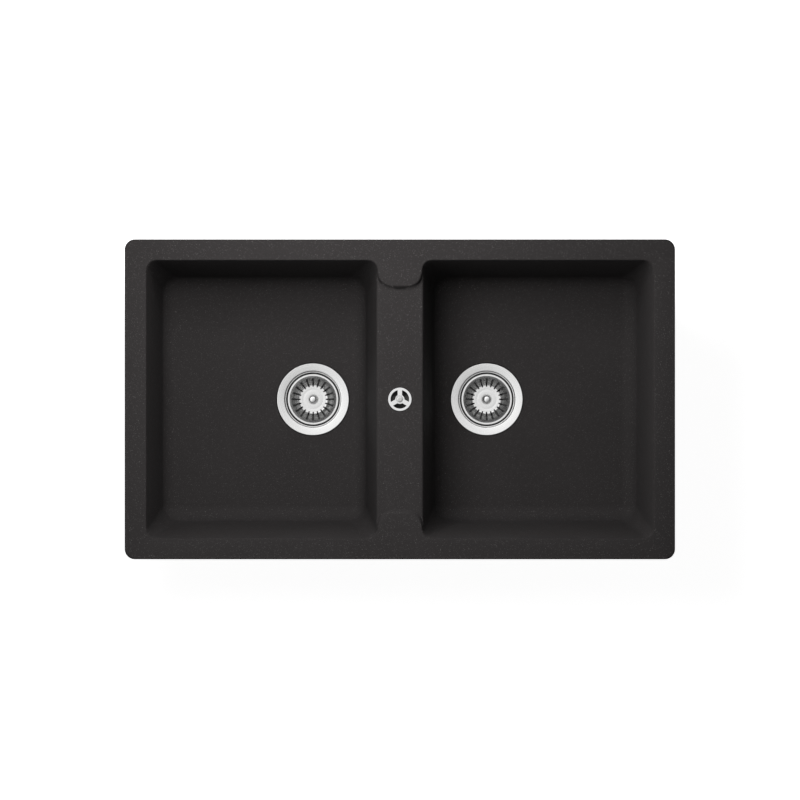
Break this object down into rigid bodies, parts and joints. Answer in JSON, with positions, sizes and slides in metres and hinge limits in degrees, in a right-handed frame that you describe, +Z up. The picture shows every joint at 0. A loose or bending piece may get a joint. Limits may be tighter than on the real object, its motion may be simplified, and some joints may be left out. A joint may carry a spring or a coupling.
{
  "type": "double bowl kitchen sink",
  "caption": "Drop-in double bowl kitchen sink in dark granite composite, with lowered divider, overflow, lift-out basket strainers, joined waste pipes and swinging worktop clamps.",
  "frame": {"origin": "centre of the worktop cut-out, in the plane of the worktop's top face, which is the rim's underside", "axes": "+X along the sink to the right, +Y towards the wall behind it, +Z up out of the worktop"},
  "size_m": [0.86, 0.5, 0.314],
  "materials": {
    "granite_composite": "fine matte grain",
    "brushed_flange": "brushed in rings",
    "basket_steel": "satin",
    "bright_chrome": "polished",
    "plated_steel": "zinc plated",
    "brass_nut": "plain",
    "black_rubber": "matte",
    "foam_rubber": "closed-cell foam",
    "pipe_plastic": "white pipe plastic",
    "nut_plastic": "light grey",
    "hose_plastic": "white hose",
    "catch_plastic": "white plastic"
  },
  "bodies": {
    "sink": {"sink_moulding": "granite_composite", "rim_seal": "foam_rubber", "clamp_screws": "plated_steel", "connecting_tee": "pipe_plastic", "overflow_cover": "bright_chrome", "overflow_screw": "bright_chrome", "overflow_seal": "black_rubber", "overflow_body": "pipe_plastic", "overflow_hose": "hose_plastic", "left_waste_cup": "brushed_flange", "left_flange_seal": "foam_rubber", "left_body_seal": "black_rubber", "left_waste_body": "pipe_plastic", "left_waste_screw": "plated_steel", "left_screw_insert": "brass_nut", "left_outlet_nut": "nut_plastic", "left_outlet_seal": "black_rubber", "right_waste_cup": "brushed_flange", "right_flange_seal": "foam_rubber", "right_body_seal": "black_rubber", "right_waste_body": "pipe_plastic", "right_waste_screw": "plated_steel", "right_screw_insert": "brass_nut", "right_outlet_nut": "nut_plastic", "right_outlet_seal": "black_rubber"},
    "left_basket": {"left_basket_strainer": "basket_steel", "left_basket_knob": "bright_chrome", "left_basket_seal": "black_rubber", "left_basket_catch": "catch_plastic"},
    "right_basket": {"right_basket_strainer": "basket_steel", "right_basket_knob": "bright_chrome", "right_basket_seal": "black_rubber", "right_basket_catch": "catch_plastic"},
    "rear_left_claw": {"clamp_claw_rear_left": "plated_steel"},
    "rear_right_claw": {"clamp_claw_rear_right": "plated_steel"},
    "front_left_claw": {"clamp_claw_front_left": "plated_steel"},
    "front_right_claw": {"clamp_claw_front_right": "plated_steel"},
    "left_claw": {"clamp_claw_left": "plated_steel"},
    "right_claw": {"clamp_claw_right": "plated_steel"}
  },
  "joints": [
    {"name": "left_basket_lift", "type": "slide", "parent": "sink", "child": "left_basket", "axis": [0, 0, 1], "range_m": [0, 0.26]},
    {"name": "right_basket_lift", "type": "slide", "parent": "sink", "child": "right_basket", "axis": [0, 0, 1], "range_m": [0, 0.26]},
    {"name": "rear_left_claw_swing", "type": "hinge", "parent": "sink", "child": "rear_left_claw", "pos_m": [-0.216, 0.2305, -0.0597], "axis": [0, 0, 1], "range_deg": [0, 90]},
    {"name": "rear_right_claw_swing", "type": "hinge", "parent": "sink", "child": "rear_right_claw", "pos_m": [0.216, 0.2305, -0.0597], "axis": [0, 0, 1], "range_deg": [0, 90]},
    {"name": "front_left_claw_swing", "type": "hinge", "parent": "sink", "child": "front_left_claw", "pos_m": [-0.216, -0.2305, -0.0597], "axis": [0, 0, 1], "range_deg": [0, 90]},
    {"name": "front_right_claw_swing", "type": "hinge", "parent": "sink", "child": "front_right_claw", "pos_m": [0.216, -0.2305, -0.0597], "axis": [0, 0, 1], "range_deg": [0, 90]},
    {"name": "left_claw_swing", "type": "hinge", "parent": "sink", "child": "left_claw", "pos_m": [-0.4105, 0, -0.0597], "axis": [0, 0, 1], "range_deg": [0, 90]},
    {"name": "right_claw_swing", "type": "hinge", "parent": "sink", "child": "right_claw", "pos_m": [0.4105, 0, -0.0597], "axis": [0, 0, 1], "range_deg": [0, 90]}
  ]
}
